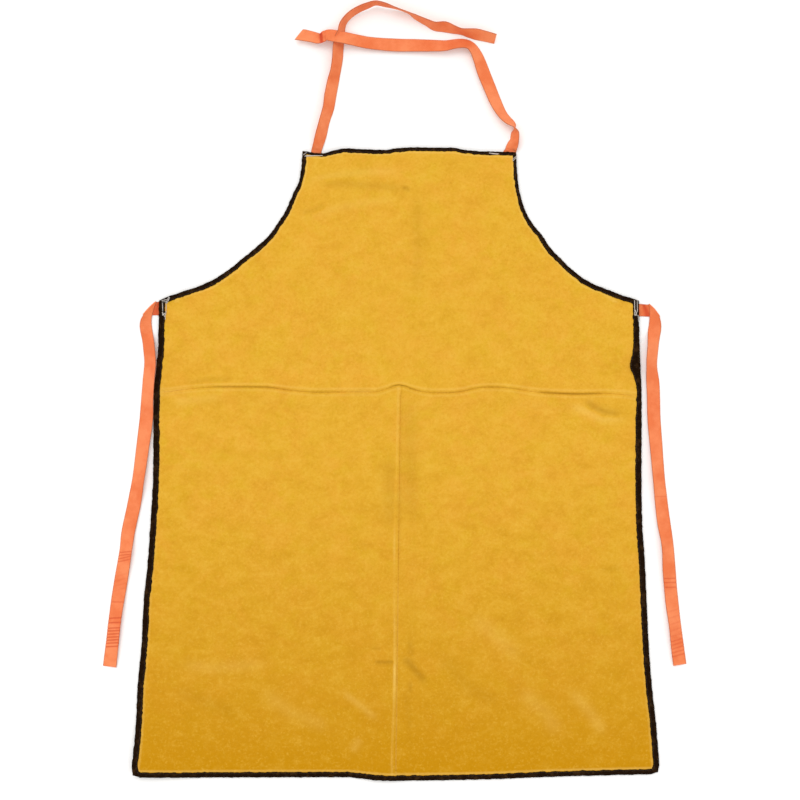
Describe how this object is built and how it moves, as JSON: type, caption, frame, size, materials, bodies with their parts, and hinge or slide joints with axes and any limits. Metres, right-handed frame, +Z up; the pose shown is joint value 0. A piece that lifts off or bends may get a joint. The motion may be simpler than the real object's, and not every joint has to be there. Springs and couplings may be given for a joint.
{
  "type": "leather welding apron",
  "caption": "Leather welding apron laid flat, with a bib, curved armholes, a flared skirt seamed down its middle, taped edges, and webbing neck and waist ties.",
  "frame": {"origin": "on the surface that the apron lies on, under the middle of the whole laid apron with its ties", "axes": "+X to the right, +Y from the hem towards the bib and the neck ties, +Z up out of the suede side"},
  "size_m": [0.8372, 1.119, 0.0263],
  "materials": {
    "leather": "golden yellow suede with a soft mottled nap",
    "binding": "near-black woven tape",
    "webbing": "bright orange ribbed webbing"
  },
  "bodies": {
    "root": {"bib_panel": "leather", "skirt_panel_left": "leather", "skirt_panel_right": "leather", "binding_hem": "binding", "binding_side_right": "binding", "binding_armhole_right": "binding", "binding_top": "binding", "binding_armhole_left": "binding", "binding_side_left": "binding", "neck_tie_left": "webbing", "neck_tie_right": "webbing", "waist_tie_left": "webbing", "waist_tie_right": "webbing"}
  },
  "joints": []
}
